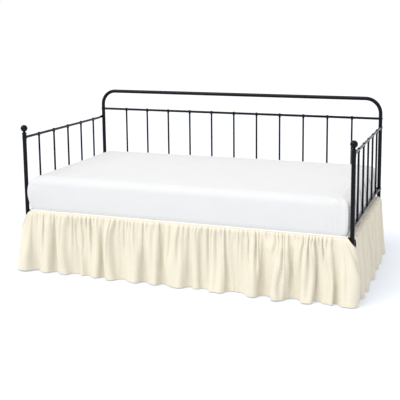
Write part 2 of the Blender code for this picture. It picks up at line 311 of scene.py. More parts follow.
def again(piece, name, place):
    """A copy with a mesh of its own, moved by a step."""
    start_clean()
    twin = piece.copy()
    twin.data = piece.data.copy()
    twin.name = name
    twin.data.name = name
    bpy.context.scene.collection.objects.link(twin)
    twin.data.transform(Matrix.Translation(place))
    return twin


TIP = 0.04                   # a rounded end stops at this share of its radius, as a tiny flat


def dome(height, radius, top, steps=4):
    """Rows for a rounded end: it starts at a height and a radius and closes at the top."""
    rows = []
    for i in range(1, steps + 1):
        turn = math.pi / 2 * i / steps
        narrow = max(radius * math.cos(turn), radius * TIP)
        rows.append((height + (top - height) * math.sin(turn), narrow))
    return rows


print("a tube is a disc, extruded and resized row by row")

# %% [markdown]
# The back of a daybed is one long tube, bent twice.  A bender leaves a true arc, so the disc is
# extruded up the leg and then spun through a quarter turn, extruded along the top, spun again
# and extruded down.  The steps of the spin are small enough for the corner to look round.

# %% The bent back
BEND_STEPS = 14
bend_z = HOOP_TOP - HOOP_R - HOOP_BEND


def spin_corner(centre_x):
    bpy.ops.mesh.spin(steps=BEND_STEPS, angle=math.pi / 2, center=(centre_x, POST_Y, bend_z),
                      axis=(0, -1, 0))


start_clean()
bpy.ops.mesh.primitive_circle_add(vertices=24, radius=HOOP_R, fill_type="NGON",
                                  location=(-POST_X, POST_Y, FOOT_H))
bent_back = bpy.context.object
bent_back.name = "bent_back"
settle(bent_back)
bpy.ops.object.mode_set(mode="EDIT")
bpy.ops.mesh.select_mode(type="FACE")
bpy.ops.mesh.select_all(action="SELECT")
leg = bend_z - FOOT_H
bpy.ops.mesh.extrude_region_move(TRANSFORM_OT_translate={"value": (0, 0, leg)})
spin_corner(-POST_X + HOOP_BEND)
bpy.ops.mesh.extrude_region_move(TRANSFORM_OT_translate={"value": (2 * (POST_X - HOOP_BEND), 0, 0)})
spin_corner(POST_X - HOOP_BEND)
bpy.ops.mesh.extrude_region_move(TRANSFORM_OT_translate={"value": (0, 0, -leg)})
bpy.ops.object.mode_set(mode="OBJECT")
stand(bent_back, (0, 0, 0))
dress(bent_back, steel, ["back_hoop"])
print("the bent back has", len(bent_back.data.vertices), "points and is",
      round(bent_back.dimensions.x, 3), "m wide")

# %% [markdown]
# Two thin rails join the hoop's legs, and eleven spindles stand between them.  Each rail goes
# through the leg and is riveted over, so a small round end shows on the outer side.  Each
# spindle goes through the upper rail in the same way, which leaves a little knob on top, and it
# has a small collar where it meets a rail.

# %% Rails and spindles of the back
RIVET = 0.0035
COLLAR_R = 0.0078
COLLAR_H = 0.007
LOW_RIVET = RIVET * 0.4      # the low rail's ends are ground nearly flush
RAIL_END = 0.001             # a rail ends this far inside the leg's outer side


def rail_rows(reach, radius, rivet):
    tip = reach + rivet
    rows = [(-tip, radius * 0.2), (-tip + rivet * 0.3, radius * 0.75), (-reach, radius)]
    return rows + [(reach, radius)] + dome(reach, radius, tip)


def spindle_rows(low, high):
    """A rod with a collar at each rail and a rivet's head over the upper one."""
    top = high + RAIL_R
    return [
        (low, SPINDLE_R), (low + RAIL_R, COLLAR_R), (low + RAIL_R + COLLAR_H * 0.6, COLLAR_R),
        (low + RAIL_R + COLLAR_H, SPINDLE_R), (high - RAIL_R - COLLAR_H, SPINDLE_R),
        (high - RAIL_R - COLLAR_H * 0.6, COLLAR_R), (high - RAIL_R, COLLAR_R), (top, COLLAR_R),
    ] + dome(top, COLLAR_R, top + RIVET, steps=3)


reach = POST_X + HOOP_R - RAIL_END
for name, node, z, rivet in (("mid_rail", "back_mid_rail", MID_RAIL_Z, RIVET),
                             ("low_rail", "back_low_rail", LOW_RAIL_Z, LOW_RIVET)):
    rail = drawn(name, rail_rows(reach, RAIL_R, rivet), sides=20)
    stand(rail, (0, POST_Y, z), (0, math.pi / 2, 0))
    dress(rail, steel, [node])

back_nodes = sorted(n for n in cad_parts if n.startswith("back_spindle"))
first = drawn("spindle_back", spindle_rows(LOW_RAIL_Z, MID_RAIL_Z), sides=16)
stand(first, (0, 0, 0))
for node in back_nodes:
    low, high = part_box(node)
    rod = again(first, node + "_riveted", ((low.x + high.x) / 2, POST_Y, 0))
    dress(rod, steel, [node])
bpy.data.objects.remove(first)
print(len(back_nodes), "spindles stand between two rails")

# %% [markdown]
# Each end has an arm: a rail at the height of an elbow, one low down beside the mattress, and
# five spindles.  At the front the rail swells into a knuckle where it is screwed to the post.
# At the back its end is pressed flat and bolted to the outside of the hoop's leg, so that
# end's rows grow tall and thin and step aside.

# %% The two arms
KNUCKLE_R = 0.0104
TAB = (0.0085, 0.0012)       # half the height and half the thickness of the flattened end
BOLT_ROWS = [(0, 0.0040), (0.0004, 0.0040)] + dome(0.0004, 0.0036, 0.0014)


def arm_rail_rows(side):
    front = -POST_Y + POST_R * 0.6
    back = POST_Y - HOOP_R
    aside = side * (HOOP_R + TAB[1])
    return [
        (front, KNUCKLE_R * 0.8), (front + 0.008, KNUCKLE_R), (front + 0.016, KNUCKLE_R * 0.9),
        (front + 0.024, RAIL_R * 1.05), (front + 0.030, RAIL_R), (back - 0.060, RAIL_R),
        (back - 0.045, RAIL_R * 1.1, RAIL_R * 0.7, aside * 0.15),
        (back - 0.030, TAB[0] * 0.9, TAB[1] * 1.6, aside * 0.55),
        (back - 0.016, TAB[0], TAB[1], aside * 0.9), (back - 0.004, TAB[0], TAB[1], aside),
        (back + 0.016, TAB[0], TAB[1], aside), (back + 0.021, TAB[0] * 0.75, TAB[1] * 0.9, aside),
        (back + 0.0235, TAB[0] * 0.3, TAB[1] * 0.6, aside),
    ]


for side_name, side in (("left", -1), ("right", 1)):
    for level, z in (("top", ARM_RAIL_Z), ("low", LOW_RAIL_Z)):
        rail = drawn(f"{side_name}_arm_{level}_rail", arm_rail_rows(side), sides=20)
        stand(rail, (side * POST_X, 0, z), (-math.pi / 2, 0, 0))
        dress(rail, steel, [f"{side_name}_{level}_rail"])
        bolt = drawn(f"{side_name}_{level}_bolt", BOLT_ROWS)
        stand(bolt, (side * (POST_X + HOOP_R + 2 * TAB[1]), POST_Y, z), (0, side * math.pi / 2, 0))
        dress(bolt, steel, [])
    arm_nodes = sorted(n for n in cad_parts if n.startswith(f"{side_name}_spindle"))
    first = drawn("spindle_arm", spindle_rows(LOW_RAIL_Z, ARM_RAIL_Z), sides=16)
    stand(first, (0, 0, 0))
    for node in arm_nodes:
        low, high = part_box(node)
        rod = again(first, node + "_riveted", (side * POST_X, (low.y + high.y) / 2, 0))
        dress(rod, steel, [node])
    bpy.data.objects.remove(first)
    print(side_name, "arm has", len(arm_nodes), "spindles")

# %% [markdown]
# A front post is a plain tube up to the arm.  Above it a ring is pressed round the tube, the
# tube narrows to a neck, and a ball finial sits on a cone.  The ball's rows come from a circle's
# own formula, and they stop where its underside becomes the cone.  A glide is a plastic foot
# that keeps the tube off the floor.

# %% Posts, ball finials and feet
RING_R = 0.0150
BALL_R = 0.0205
BALL_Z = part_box("right_finial")[1].z - BALL_R
post_top = post_high.z


def post_rows():
    return [
        (FOOT_H, POST_R * 0.97), (FOOT_H + 0.002, POST_R), (ARM_RAIL_Z - 0.016, POST_R),
        (ARM_RAIL_Z - 0.013, POST_R * 1.07), (ARM_RAIL_Z + 0.012, POST_R * 1.07),
        (ARM_RAIL_Z + 0.015, POST_R), (post_top - 0.0115, POST_R * 1.02),
        (post_top - 0.0095, RING_R * 0.95), (post_top - 0.0065, RING_R),
        (post_top - 0.0035, RING_R * 0.95), (post_top - 0.0015, RING_R * 0.80),
        (post_top, RING_R * 0.62),
    ]


def finial_rows():
    neck = [(post_top - 0.001, 0.0088), (post_top + 0.003, 0.0080), (post_top + 0.006, 0.0086)]
    turns = [math.radians(a) for a in range(-52, 90, 9)]
    ball = [(BALL_Z + BALL_R * math.sin(a), BALL_R * math.cos(a)) for a in turns]
    return neck + ball + [(BALL_Z + BALL_R, BALL_R * TIP)]


FOOT_ROWS = [(0, 0.0145), (0.0012, 0.0158), (0.0085, 0.0160), (0.0108, 0.0152), (FOOT_H, 0.0132)]
for side_name, side in (("left", -1), ("right", 1)):
    post = drawn(f"{side_name}_front_post", post_rows(), sides=32)
    stand(post, (side * POST_X, -POST_Y, 0))
    dress(post, steel, [f"{side_name}_post"])
    ball = drawn(f"{side_name}_ball_finial", finial_rows(), sides=32)
    stand(ball, (side * POST_X, -POST_Y, 0))
    dress(ball, steel, [f"{side_name}_finial"])
    for end, y in (("front", -POST_Y), ("back", POST_Y)):
        foot = drawn(f"{end}_{side_name}_glide", FOOT_ROWS)
        stand(foot, (side * POST_X, y, 0))
        dress(foot, glide, [f"foot_{end}_{side_name}"])
print("two posts with finials, four glides")

# %% [markdown]
# The deck's rails and slats are straight bars, and the plain ones have that shape already.  They
# stay as they are and only get the powder coat.

# %% The deck keeps its bars
deck_bars = [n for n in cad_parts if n.startswith("deck_")]
for name in deck_bars:
    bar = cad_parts[name]
    bar.data.materials.clear()
    bar.data.materials.append(steel)
print(len(deck_bars), "bars of the deck are coated")

# %% [markdown]
# ## The ruffles
# A ruffle is a strip of cloth about half as long again as the edge it is sewn to.  At the
# seam the spare length is taken up by many small gathers.  They run out as the cloth hangs,
# and the spare length moves into fewer, broader folds.  A strip like this could be pinned
# and dropped by a simulation, but then its folds would fall anywhere.  Here each main fold
# is listed, one row for each, and the small gathers are worked out between them.
#
# A row holds the fold's width at the seam, its width at the hem, and its swing, which is how
# far the cloth turns away from the edge's direction, in radians.  A fourth number says how
# broad its ridge is: 0.2 where the row has none, and less than zero for a narrow ridge
# between wide hollows.  The folds at both ends of the front are much wider at the hem than at
# the seam, because the cloth fans out there and turns round the posts.

# %% The main folds, listed one by one
HEM_LIFT = 0.0030            # the hem stops just above the floor
PLAIN_CLOTH = 0.0015         # the thickness of the plain model's sheets

FRONT_FOLDS = (
    (0.043, 0.163, 0.62), (0.125, 0.125, 0.96, 0.16), (0.124, 0.124, 0.88, 0.18),
    (0.092, 0.092, 0.94, 0.12), (0.100, 0.100, 1.00, 0.14), (0.125, 0.125, 1.02, 0.16),
    (0.139, 0.139, 0.92, 0.20), (0.112, 0.112, 1.00, 0.14), (0.168, 0.168, 0.80, 0.12),
    (0.077, 0.077, 0.98, 0.10), (0.163, 0.163, 1.00, 0.26), (0.049, 0.049, 0.70),
    (0.138, 0.138, 1.12, 0.06), (0.160, 0.160, 1.16, -0.14), (0.144, 0.144, 1.22, -0.14),
    (0.088, 0.088, 1.22, -0.02), (0.039, 0.138, 0.80, 0.28), (0.020, 0.060, 0.45),
)
RIGHT_FOLDS = (
    (0.046, 0.044, 0.35), (0.098, 0.102, 0.74), (0.106, 0.104, 0.82), (0.088, 0.092, 0.70),
    (0.112, 0.112, 0.86), (0.096, 0.094, 0.72), (0.100, 0.104, 0.84), (0.114, 0.109, 0.80),
    (0.090, 0.094, 0.74), (0.106, 0.110, 0.78),
)
LEFT_FOLDS = (
    (0.108, 0.112, 0.76), (0.092, 0.096, 0.78), (0.112, 0.110, 0.84), (0.098, 0.096, 0.70),
    (0.092, 0.097, 0.82), (0.108, 0.106, 0.76), (0.097, 0.100, 0.86), (0.110, 0.110, 0.74),
    (0.093, 0.094, 0.70), (0.046, 0.044, 0.35),
)
BACK_FOLDS = tuple((0.119, 0.119, 0.90 + 0.10 * math.sin(2.4 * i)) for i in range(16))
print(len(FRONT_FOLDS), "folds in front,", len(RIGHT_FOLDS), "and", len(LEFT_FOLDS), "at the ends,",
      len(BACK_FOLDS), "behind")

# %% [markdown]
# Seen from above, hanging cloth runs in a sine-generated curve, the curve of a river's bends:
# the angle of its path, not the path itself, goes up and down as a sine.  Adding up the
# angle along the cloth gives the path, so the cloth is never stretched, and a ridge can be
# rounder than its valleys.
#
# Three sizes of shorter waves are added to that angle.  Small gathers start at the seam, and
# most of them end within a hand's breadth.  Where they end, two or three of them have run
# together into a half-size fold, which is deepest there and fades below.  Slow waves begin
# lower down and reach the hem.  The main folds are faint at the seam and nearly full at the
# hem.  At each height, a few rounds of halving find how strong the short waves must be to take
# up the cloth that the main fold leaves, so that the row keeps its width.  Near the seam the
# fanned end folds hold more cloth than that, so they are crowded to the very end and
# flattened.

# %% One row of cloth, seen from above
RIDGE = 0.20                 # makes ridges broad and valleys narrow, where a row says nothing
FLAT = 0.14                  # makes the fronts of the main folds flatter and their sides steeper
MAIN_SHARE = (0.12, 0.97)    # of their swing, at the seam and at the hem
GATHER = 0.035               # the cloth in one gather
HALF_FOLD = 0.070            # the cloth in one half-size fold
SHORT_REACH = (0.05, 0.12)   # how far down the gathers fade
LONG_REACH = (0.18, 0.34)
HALF_STRENGTH = (0.50, 1.10)
HALF_REACH = (0.19, 0.30)
HEM_STRENGTH = (0.25, 1.00)
COLUMN = 0.0036              # the cloth between two columns of points
SLOW_WAVE = 0.085            # the cloth in one of the slow waves at the hem
SKEW = (-0.24, -0.04)        # makes one side of a fold steeper than the other
LONG_SHARE = 0.30            # how many of the gathers are long ones
GATHER_STRENGTH = (0.70, 1.25)
HALF_GROWN = (0.25, 0.09)    # half-size folds have this share at the seam, and are whole here
LOW_FROM = (0.10, 0.20)      # the slow waves begin here, and grow over this
ON_RIDGE = (0.55, 0.40)      # how often folds meet on top of a gather, or of a half-size fold
FANNED = 0.6                 # a fold with less than this share of its hem width at the seam
FAN_GATHER = 1.7             # its gathers hold this many times as much cloth
STRONGEST = (1.5, 0.7)       # the short waves' greatest strength, and theirs in a fanned fold
SQUEEZED = 1.05              # where too much cloth meets at an end, its gathers are made shallower
END_CROWD = 0.5              # less than one: that cloth is crowded towards the very end


def smooth(x):
    x = np.clip(x, 0.0, 1.0)
    return x * x * (3 - 2 * x)


def wave(phase, skew=0.0, ridge=RIDGE, flat=0.0):
    return (np.sin(phase) + ridge * np.sin(2 * phase) - flat * np.sin(3 * phase)
            + skew * (np.cos(phase) - np.cos(2 * phase)))


def ripples(turn, count, on_ridge, chance, jitter):
    """One wave between each two of some uneven cuts.  A fold's end may be on top of a wave."""
    width = 1 / count
    start, end = -width / 2 * on_ridge[0], 1 + width / 2 * on_ridge[1]
    count = max(1, round((end - start) / width))
    span = end - start
    cuts = [start + span * (i + chance.uniform(-jitter, jitter)) / count for i in range(1, count)]
    for low, high in zip([start] + cuts, cuts + [end]):
        inside = (turn >= low) & (turn < high)
        yield np.where(inside, wave(math.tau * (turn - low) / (high - low), ridge=2 * RIDGE), 0.0)


def fading(reach):
    return lambda down: math.exp(-(down / reach) ** 1.8)


def running_together(reach):
    first, whole = HALF_GROWN
    return lambda down: ((first + (1 - first) * float(smooth(down / whole)))
                         * math.exp(-(down / reach) ** 2.6))


def starting_low(down):
    return float(smooth((down - LOW_FROM[0]) / LOW_FROM[1]))


def plan_fold(ends, chance, seam_width, hem_width, swing, ridge=RIDGE):
    """A main fold with its short waves: what stays the same at every height."""
    skew = chance.uniform(*SKEW)
    trial = wave(np.linspace(0, math.tau, 61)[:-1], skew, ridge, FLAT)
    length = hem_width / np.cos(swing * trial).mean()
    columns = max(10, round(length / COLUMN))
    turn = (np.arange(columns) + 0.5) / columns
    small_ends, half_ends = zip(*ends)
    short = []
    fanned = seam_width < FANNED * hem_width
    gather = FAN_GATHER if fanned else 1.0
    for ripple in ripples(turn, max(1, round(length / GATHER / gather)), small_ends, chance, 0.28):
        reach = chance.uniform(*(LONG_REACH if chance.random() < LONG_SHARE else SHORT_REACH))
        short.append((ripple * chance.uniform(*GATHER_STRENGTH), fading(reach)))
    for ripple in ripples(turn, max(1, round(length / HALF_FOLD)), half_ends, chance, 0.20):
        strength = chance.uniform(*HALF_STRENGTH) * min(1.0, swing)
        short.append((ripple * strength, running_together(chance.uniform(*HALF_REACH))))
    for ripple in ripples(turn, max(1, round(length / SLOW_WAVE)), half_ends, chance, 0.22):
        short.append((ripple * chance.uniform(*HEM_STRENGTH), starting_low))
    main = swing * wave(math.tau * turn, skew, ridge, FLAT)
    return {"seam": seam_width, "hem": hem_width, "main": main, "short": short, "fanned": fanned,
            "step": length / columns, "length": length}


def plan_folds(folds, chance):
    """All the folds of a ruffle, and whether short waves sit on top of each end."""
    plan = []
    ends = (False, False)
    for fold in folds:
        next_ends = (chance.random() < ON_RIDGE[0], chance.random() < ON_RIDGE[1])
        plan.append(plan_fold((ends, next_ends), chance, *fold))
        ends = next_ends
    return plan


def angles(fold, width, part, down):
    """How far the cloth turns from the edge's direction, all along one row of a main fold."""
    main = fold["main"] * (MAIN_SHARE[0] + (MAIN_SHARE[1] - MAIN_SHARE[0]) * part ** 0.9)
    short = sum(ripple * strength(down) for ripple, strength in fold["short"])
    low, high = 0.0, STRONGEST[fold["fanned"]]
    for _ in range(14):
        middle = (low + high) / 2
        if (np.cos(main + middle * short) * fold["step"]).sum() > width:
            low = middle
        else:
            high = middle
    return main + low * short


def cloth_row(plan, starts, fan, part, down, sway):
    """Distances along the edge and out from it, for one row.  part runs from 0 at the seam to 1."""
    along = starts[0] + (starts[1] - starts[0]) * (1 - (1 - part) ** fan[0])
    run, out = [], []
    for number, fold in enumerate(plan):
        side = 2 * number // len(plan)
        spread = 1 - (1 - part) ** fan[side]
        width = fold["seam"] + (fold["hem"] - fold["seam"]) * spread
        angle = angles(fold, width, part, down)
        path = np.concatenate([[0.0], np.cumsum(np.cos(angle) * fold["step"])])
        rise = np.concatenate([[0.0], np.cumsum(np.sin(angle) * fold["step"])])
        place = np.clip(path / path[-1], 0.0, 1.0)
        rise = (rise - rise[-1] * place) * min(1.0, SQUEEZED * width / path[-1]) ** 2
        if fold["fanned"]:
            power = END_CROWD + (1 - END_CROWD) * spread
            place = place ** power if side else 1 - (1 - place) ** power
        shift = (sway[number] + (sway[number + 1] - sway[number]) * place) * math.sin(math.pi * part)
        run.append((along + width * place + shift)[:-1])
        out.append(rise[:-1])
        along += width
    run.append([along])
    out.append([0.0])
    return np.concatenate(run), np.concatenate(out)


trial = plan_folds([(0.103, 0.103, 1.02)], random.Random(1))[0]
print("a 103 mm fold holds", round(trial["length"] * 1000), "mm of cloth, in", len(trial["short"]),
      "short waves")

# %% [markdown]
# The rows are then hung over the deck's edge: a short flat run, a quarter turn, and a straight
# fall.  The cloth stands out from that line by its folds.  The front ruffle's ends go on past
# the corner and turn round the post, and the end ruffles' front edges tuck in behind it.

# %% Hanging the rows
CORNER_PUSH = 0.010          # keeps the front ruffle's ends off the posts
CORNER_FLARE = 0.018         # its left end stands out further, towards the hem
CORNER_LIFT = 0.006          # its left end spreads wide, which draws the hem up there
INWARDS = 0.009              # no fold goes further in than this: the rails are behind it
TUCK = 0.013                 # the end ruffles' front edges turn in behind the posts
FAN = (2.2, 2.7)             # how early the two ends of a ruffle spread to their hem widths
SWAY = 0.006                 # a fold's edges wander sideways by up to this much
SEAM_DEPTH = 0.08            # what the folds have of their depth in the seam itself
FREE_FROM = (0.005, 0.014)   # how far below the seam they come free, and over what distance
PUSH_FROM = (-0.10, 0.08)    # the push begins this far short of the post, and grows over this
PUSH_DROP = 0.03             # and it is whole this far below the seam
LIFT_FROM = (-0.12, 0.15)    # the same for the hem's lift, at the left end alone
TUCK_FROM = (0.448, 0.03)    # the tuck begins this far from the panel's middle
TUCK_DROP = (0.085, 0.03)    # and this far below the seam, under the deck's rail
PENDULUM = 1.1               # cloth that stands out by d hangs d * d / this higher at the hem
HEM = 0.020                  # the height of the hem that is folded up and stitched
STITCH_LINE = 0.0168         # the stitches lie this far above the hem's lower edge
HEM_ROWS = (0.0200, 0.0190, STITCH_LINE, 0.0150, 0.0105, 0.0055, 0.0022, 0.0007, 0.0)


def grows(distance, start, over):
    return smooth((distance - start) / over)


def hang(plan, starts, seam_out, shoulder, flare, half, yaw, rows, seed, corner=0.0, tucked=0):
    """The cloth's middle surface, as rows of points, and how far down the cloth each row is.

    starts is where the first fold begins, at the seam and at the hem, along an edge that is
    half away from the bed's middle.  corner is how far along it the posts stand, for cloth that
    turns round them, and tucked is the end that turns in, -1 or 1.
    """
    chance = random.Random(seed + 100)
    sway = [chance.uniform(-SWAY, SWAY) for _ in range(len(plan) + 1)]
    flat, radius = shoulder
    turn_length = radius * math.pi / 2
    fall = DECK_Z - PLAIN_CLOTH / 2 - HEM_LIFT - radius
    length = flat + turn_length + fall
    upper = (length - HEM_ROWS[0] - 0.004) * np.linspace(0, 1, rows) ** 1.25
    downs = np.concatenate([upper, length - np.array(HEM_ROWS)])
    turn = Matrix.Rotation(yaw, 3, "Z")
    grid = []
    for down in downs:
        part = down / length
        if down <= flat:
            out, z, tilt = down, 0.0, 0.0
        elif down <= flat + turn_length:
            tilt = (down - flat) / radius
            out, z = flat + radius * math.sin(tilt), -radius * (1 - math.cos(tilt))
        else:
            tilt = math.pi / 2
            fallen = (down - flat - turn_length) / fall
            out, z = flat + radius + flare * fallen, -radius - fall * fallen
        along, fold = cloth_row(plan, starts, FAN, part, max(0.0, down - flat * 0.5), sway)
        fold = fold * (SEAM_DEPTH + (1 - SEAM_DEPTH) * grows(down, *FREE_FROM))
        fold = np.where(fold < 0, -INWARDS * (1 - np.exp(np.minimum(fold, 0) / INWARDS)), fold)
        pushed = grows(np.abs(along) - corner, *PUSH_FROM) * smooth(down / PUSH_DROP)
        tuck = TUCK * grows(tucked * along, *TUCK_FROM) * grows(down, *TUCK_DROP)
        push = CORNER_PUSH + CORNER_FLARE * part * (along < 0)
        base = seam_out + out + (push * pushed if corner else -tuck)
        height = DECK_Z - PLAIN_CLOTH / 2 + z + fold * math.cos(tilt) + fold ** 2 / PENDULUM * part
        if corner:
            height = height + CORNER_LIFT * part * grows(-along - corner, *LIFT_FROM)
        reach = base + fold * math.sin(tilt)
        x, y = along.copy(), -half - reach
        if corner:
            past = np.maximum(np.abs(along) - corner, 0.0)
            bend = np.minimum(past / base, math.pi / 2)
            round_post = past > 0
            beyond = past - base * bend
            x = np.where(round_post, np.sign(along) * (corner + reach * np.sin(bend)), x)
            y = np.where(round_post, -half - reach * np.cos(bend) + beyond, y)
        row = np.stack([x, y, np.maximum(height, HEM_LIFT)], axis=1)
        grid.append(row @ np.array(turn).T)
    return np.array(grid), downs


print("the hem is folded up by", HEM * 1000, "mm")

# %% [markdown]
# A row of points has no thickness.  Solidify would give it an even one, but a hem is cloth folded
# over twice and stitched, so it is thicker, with a small step at its top and a groove where the
# stitches pull it in.  So both faces are laid out here, each half the thickness from the
# middle, and joined round the edges into one closed sheet.  The UV map holds metres of
# cloth, along and down.

# %% Giving the cloth its two faces, its hem and its stitches
CLOTH = 0.0011
HEM_CLOTH = 0.0027
GROOVE = 0.0006              # how far the stitches pull the cloth in
GROOVE_WIDTH = 0.0011
HEM_STEP = 0.0010            # the height of the step at the hem's top, and of its rounded fold
END_HEM = (0.013, 0.004)     # the hems up the free ends: their width, and their step's width
END_SHARE = 0.6              # and what they have of the lower hem's extra thickness


def normals_of(grid):
    down, across = np.gradient(grid, axis=0), np.gradient(grid, axis=1)
    normal = np.cross(down, across)
    return normal / np.maximum(np.linalg.norm(normal, axis=2, keepdims=True), 1e-9)


def lengths_along(grid):
    step = np.linalg.norm(np.diff(grid, axis=1), axis=2)
    return np.concatenate([np.zeros((grid.shape[0], 1)), np.cumsum(step, axis=1)], axis=1)


def closed_sheet(name, middle, thickness, along, down):
    """One closed sheet from its middle surface.  Along and down measure the cloth, in metres."""
    normal = normals_of(middle)
    half = thickness[..., None] / 2
    rows, columns = middle.shape[:2]
    outer_face, inner_face = middle + normal * half, middle - normal * half
    points = np.concatenate([outer_face.reshape(-1, 3), inner_face.reshape(-1, 3)])
    index = np.arange(rows * columns).reshape(rows, columns)
    a, b, c, d = index[:-1, :-1], index[1:, :-1], index[1:, 1:], index[:-1, 1:]
    outer = np.stack([a, b, c, d], axis=-1).reshape(-1, 4)
    inner = outer[:, ::-1] + rows * columns
    rim = np.concatenate([index[0, ::-1], index[1:, 0], index[-1, 1:], index[-2:0:-1, -1]])
    ahead = np.roll(rim, -1)
    edge = np.stack([ahead, rim, rim + rows * columns, ahead + rows * columns], axis=-1)
    faces = np.concatenate([outer, inner, edge])
    piece = mesh_piece(name, points, faces.tolist())
    uv = np.stack([along, down], axis=-1).reshape(-1, 2)
    uv = np.concatenate([uv, uv])
    layer = piece.data.uv_layers.new(name="cloth")
    layer.data.foreach_set("uv", uv[faces.reshape(-1)].reshape(-1))
    return piece, normal


def hem_thickness(along, down, length):
    """Cloth, and the hems along the bottom and up both free ends."""
    from_bottom = length - down
    to_end = np.minimum(along, along[:, -1:] - along)
    rounded = 1 - 0.5 * smooth((HEM_STEP - from_bottom) / HEM_STEP)
    bottom = smooth((HEM + 0.0004 - from_bottom) / HEM_STEP) * rounded
    end = END_SHARE * smooth((END_HEM[0] - to_end) / END_HEM[1])
    groove = np.exp(-((from_bottom - STITCH_LINE) / GROOVE_WIDTH) ** 2)
    return CLOTH + (HEM_CLOTH - CLOTH) * np.maximum(bottom, end) - GROOVE * groove


STITCH = 0.0030              # one stitch's length
STITCH_PITCH = 0.0042
STITCH_ENDS = 0.006          # the row starts and stops this far inside the cloth's ends
THREAD_R = 0.00042
STITCH_SHAPE = (             # place along the stitch, girth and height, as shares
    (-0.5, 0.30, -0.3), (-0.36, 0.9, 0.35), (0.0, 1.0, 0.6), (0.36, 0.9, 0.35), (0.5, 0.30, -0.3),
)
SIDES = 4


def stitches(name, line, normal):
    """A row of short threads that lie on the cloth along a line of points."""
    step = np.linalg.norm(np.diff(line, axis=0), axis=1)
    run = np.concatenate([[0.0], np.cumsum(step)])

    def at_length(values, length):
        return np.array([np.interp(length, run, values[:, k]) for k in range(3)])

    points, faces = [], []
    for middle in np.arange(STITCH_ENDS, run[-1] - STITCH_ENDS, STITCH_PITCH):
        first = len(points)
        for share, girth, lift in STITCH_SHAPE:
            at = middle + share * STITCH
            place, up = at_length(line, at), at_length(normal, at)
            beside = np.cross(up, at_length(line, at + 0.0005) - place)
            beside /= max(np.linalg.norm(beside), 1e-9)
            place = place + up * lift * THREAD_R
            for k in range(SIDES):
                turn = math.tau * (k + 0.5) / SIDES
                around = math.cos(turn) * up + math.sin(turn) * beside
                points.append(place + girth * THREAD_R * around)
        last = len(points) - SIDES
        for ring in range(first, last, SIDES):
            for k in range(SIDES):
                p, q = ring + k, ring + (k + 1) % SIDES
                faces.append((p, q, q + SIDES, p + SIDES))
        faces.append(tuple(reversed(range(first, first + SIDES))))
        faces.append(tuple(range(last, last + SIDES)))
    return mesh_piece(name, points, faces)


def ruffle(name, node, folds, seed, **hanging):
    plan = plan_folds(folds, random.Random(seed))
    middle, downs = hang(plan, seed=seed, **hanging)
    along = lengths_along(middle)
    down = np.broadcast_to(downs[:, None], along.shape)
    thickness = hem_thickness(along, down, downs[-1])
    piece, normal = closed_sheet(name, middle, thickness, along, down)
    row = len(downs) - len(HEM_ROWS) + HEM_ROWS.index(STITCH_LINE)
    face = middle[row] + normal[row] * thickness[row][:, None] / 2
    seam = stitches(name + "_hem_stitches", face, normal[row])
    dress(piece, ivory, [node])
    dress(seam, thread_finish, [])


SEAM_GAP = 0.0005
OVER_EDGE = (0.0, 0.010)     # a flat run past the seam, and the radius of the turn over the edge
OVER_RAIL = (0.014, 0.025)   # the same at the ends, whose rails stand further out
QUARTER = math.pi / 2
front_out = -deck_low.y - POST_Y + SEAM_GAP
back_out = deck_high.y - POST_Y + SEAM_GAP
end_out = deck_high.x - POST_X + SEAM_GAP
ruffle("front_ruffle", "ruffle_front", FRONT_FOLDS, seed=11, starts=(-0.953, -1.073), rows=44,
       seam_out=front_out, shoulder=OVER_EDGE, flare=0.004, half=POST_Y, corner=POST_X, yaw=0.0)
ruffle("right_ruffle", "ruffle_right", RIGHT_FOLDS, seed=12, starts=(-0.478, -0.478), rows=38,
       seam_out=end_out, shoulder=OVER_RAIL, flare=0.012, half=POST_X, tucked=-1, yaw=QUARTER)
ruffle("left_ruffle", "ruffle_left", LEFT_FOLDS, seed=14, starts=(-0.478, -0.487), rows=38,
       seam_out=end_out, shoulder=OVER_RAIL, flare=0.012, half=POST_X, tucked=1, yaw=-QUARTER)
ruffle("back_ruffle", "ruffle_back", BACK_FOLDS, seed=13, starts=(-0.952, -0.952), rows=32,
       seam_out=back_out, shoulder=OVER_EDGE, flare=0.010, half=POST_Y, yaw=2 * QUARTER)

# %% [markdown]
# ## The deck cloth
# The deck cloth is the part of a bed skirt that nobody sees.  It is a plain sheet of paler
# cotton as large as the deck.  Only its edge shows, all round under the mattress: there the
# gathered edge of the ruffle is sewn between two layers, and the bundle makes a soft welt.

# %% Deck cloth with its welt
WELT = 0.0078                # the sewn edge is a cord of cloth, this thick
WELT_WIDTH = 0.0072
WELT_EDGE = 0.0006           # and this thick at its outer side
LIFTED = 0.0002              # the cloth lies this far above the plain sheet's underside


def edge_spaced(low, high, count):
    """Stations that are close together at both ends, where the welt is."""
    near = WELT_WIDTH / 2 * (1 - np.cos(np.linspace(0, math.pi, 13)))
    middle = np.linspace(low + near[-1], high - near[-1], count)[1:-1]
    return np.concatenate([low + near, middle, high - near[::-1]])


grid_x, grid_y = np.meshgrid(edge_spaced(deck_low.x, deck_high.x, 90),
                             edge_spaced(deck_low.y, deck_high.y, 48))
to_edge = np.minimum(np.minimum(grid_x - deck_low.x, deck_high.x - grid_x),
                     np.minimum(grid_y - deck_low.y, deck_high.y - grid_y))
across_welt = np.clip(2 * to_edge / WELT_WIDTH - 1, -1, 1)
cord = WELT * np.sqrt(1 - across_welt ** 2)
thick = np.maximum(cord, np.where(to_edge < WELT_WIDTH / 2, WELT_EDGE, CLOTH))
underside = deck_low.z + LIFTED
middle = np.stack([grid_x, grid_y, underside + thick / 2], axis=-1)
deck_cloth, _ = closed_sheet("deck_cloth", middle, thick, grid_x, grid_y)
dress(deck_cloth, cream, ["platform"])
outwards(deck_cloth)
print("the deck cloth lies at", round(deck_low.z, 4), "m and its welt is", WELT * 1000, "mm thick")

